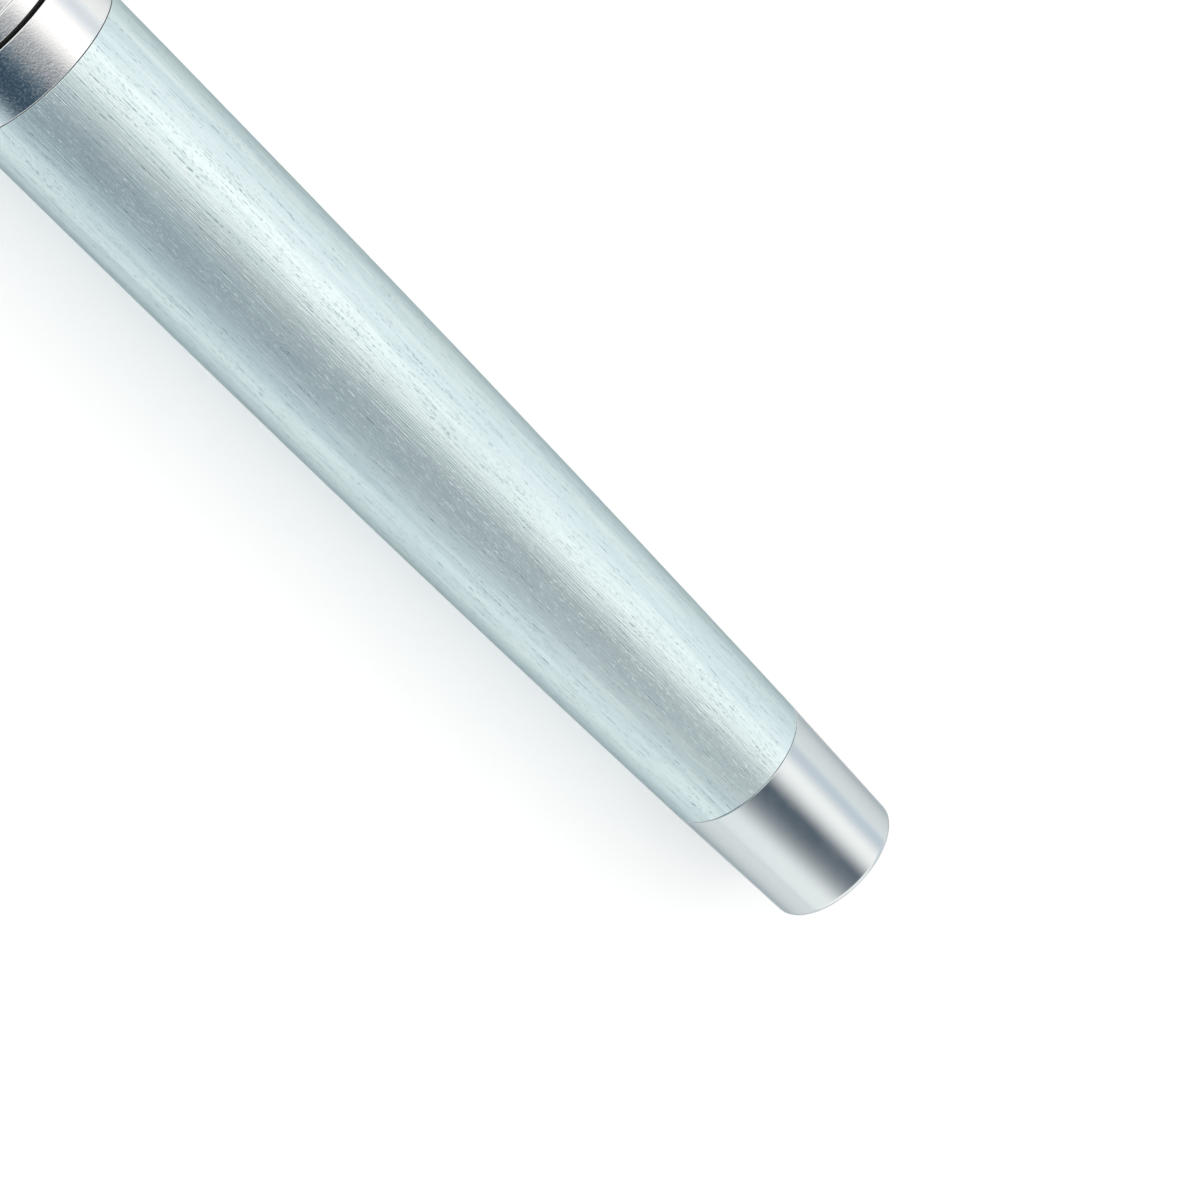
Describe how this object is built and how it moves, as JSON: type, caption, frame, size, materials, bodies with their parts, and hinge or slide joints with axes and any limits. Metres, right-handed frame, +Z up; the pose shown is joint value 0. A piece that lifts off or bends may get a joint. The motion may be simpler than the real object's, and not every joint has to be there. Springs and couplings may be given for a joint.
{
  "type": "technical pen",
  "caption": "Capped technical pen with a satin metal body, polished rings and ends, a sprung clip, a tubular drawing point and an ink cartridge.",
  "frame": {"origin": "the middle of the pen's box, on the surface that it lies on", "axes": "+X along the pen towards its tail, +Z up from the surface that it lies on; the clip is on the -Y side, turned down until its edge meets that surface"},
  "size_m": [0.1404, 0.0138, 0.0119],
  "materials": {
    "satin_metal": "brushed along the pen, anodised with a cool tint",
    "polished_metal": "mirror polished",
    "brass": "turned",
    "stainless_steel": "drawn and ground",
    "black_plastic": "fine moulded texture",
    "grey_plastic": "moulded",
    "white_plastic": "moulded",
    "colour_plastic": "moulded, glossy",
    "clear_plastic": "translucent, moulded",
    "black_rubber": "matt",
    "grey_rubber": "matt"
  },
  "bodies": {
    "section": {"grip_section": "black_plastic", "section_seal": "black_rubber"},
    "barrel": {"barrel_tube": "satin_metal", "barrel_ring": "polished_metal", "barrel_bush": "brass", "end_cap": "polished_metal"},
    "cap": {"cap_tube": "satin_metal", "cap_lip_ring": "polished_metal", "cap_inner_sleeve": "white_plastic", "cap_seal": "grey_rubber", "cap_finial": "polished_metal", "cap_screw": "stainless_steel", "clip_ring": "polished_metal"},
    "clip": {"clip_arm": "polished_metal"},
    "nib_collar": {"colour_ring": "colour_plastic"},
    "nib": {"nib_body": "grey_plastic", "point_sleeve": "stainless_steel", "point_tube": "stainless_steel", "nib_plug": "white_plastic"},
    "weight": {"drop_weight": "stainless_steel", "cleaning_wire": "stainless_steel"},
    "cartridge": {"ink_cartridge": "clear_plastic", "breather_spiral": "black_plastic"}
  },
  "joints": [
    {"name": "cap_pull", "type": "slide", "parent": "section", "child": "cap", "axis": [-1, 0, 0], "range_m": [0, 0.055]},
    {"name": "clip_flex", "type": "hinge", "parent": "cap", "child": "clip", "pos_m": [-0.06182, -0.00545, 0.00192], "axis": [0, 0.5364, -0.844], "range_deg": [0, 6], "stiffness_Nm_per_rad": 0.8},
    {"name": "barrel_pull", "type": "slide", "parent": "section", "child": "barrel", "axis": [1, 0, 0], "range_m": [0, 0.058]},
    {"name": "nib_advance", "type": "slide", "parent": "section", "child": "nib_collar", "axis": [-1, 0, 0], "range_m": [0, 0.0015]},
    {"name": "nib_turn", "type": "hinge", "parent": "nib_collar", "child": "nib", "pos_m": [-0.04109, 0.00093, 0.00597], "axis": [-1, 0, 0], "range_deg": [0, 1095]},
    {"name": "cartridge_pull", "type": "slide", "parent": "section", "child": "cartridge", "axis": [1, 0, 0], "range_m": [0, 0.008]},
    {"name": "weight_drop", "type": "slide", "parent": "nib", "child": "weight", "axis": [1, 0, 0], "range_m": [0, 0.0018]}
  ],
  "couplings": [
    {"joint": "nib_turn", "follows": "nib_advance", "rad_per_m": 12566}
  ]
}
